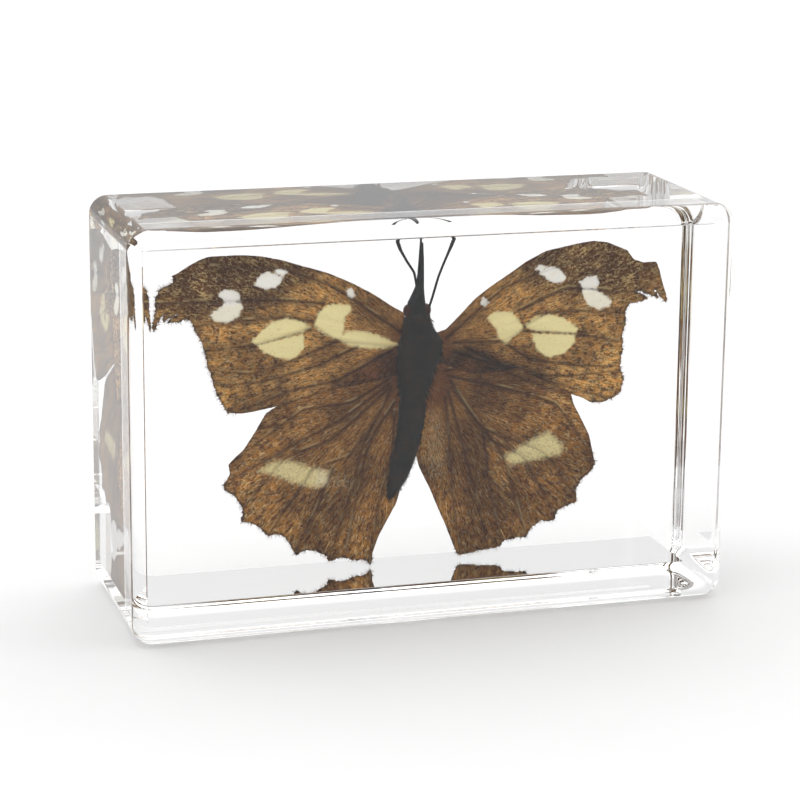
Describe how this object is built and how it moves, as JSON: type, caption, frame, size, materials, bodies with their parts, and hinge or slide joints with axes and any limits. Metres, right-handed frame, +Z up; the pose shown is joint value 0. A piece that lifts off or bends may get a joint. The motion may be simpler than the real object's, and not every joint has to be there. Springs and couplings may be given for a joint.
{
  "type": "insect specimen in a resin block",
  "caption": "Upright clear resin block with rounded edges, made to hold a spread butterfly sealed inside behind its large face",
  "frame": {"origin": "middle of the narrow long side that the block stands on, at the bottom of its bounding box", "axes": "+X along the width, left to right as seen from the butterfly's upper side; +Y through the thickness, away from the viewer; +Z up the height"},
  "size_m": [0.06, 0.022, 0.04],
  "materials": {
    "resin": "polished clear cast resin",
    "wing": "scaled butterfly wing, seen through the resin",
    "insect_body": "dry dark insect body with short hair"
  },
  "bodies": {
    "root": {"resin_block": "resin"}
  },
  "joints": []
}
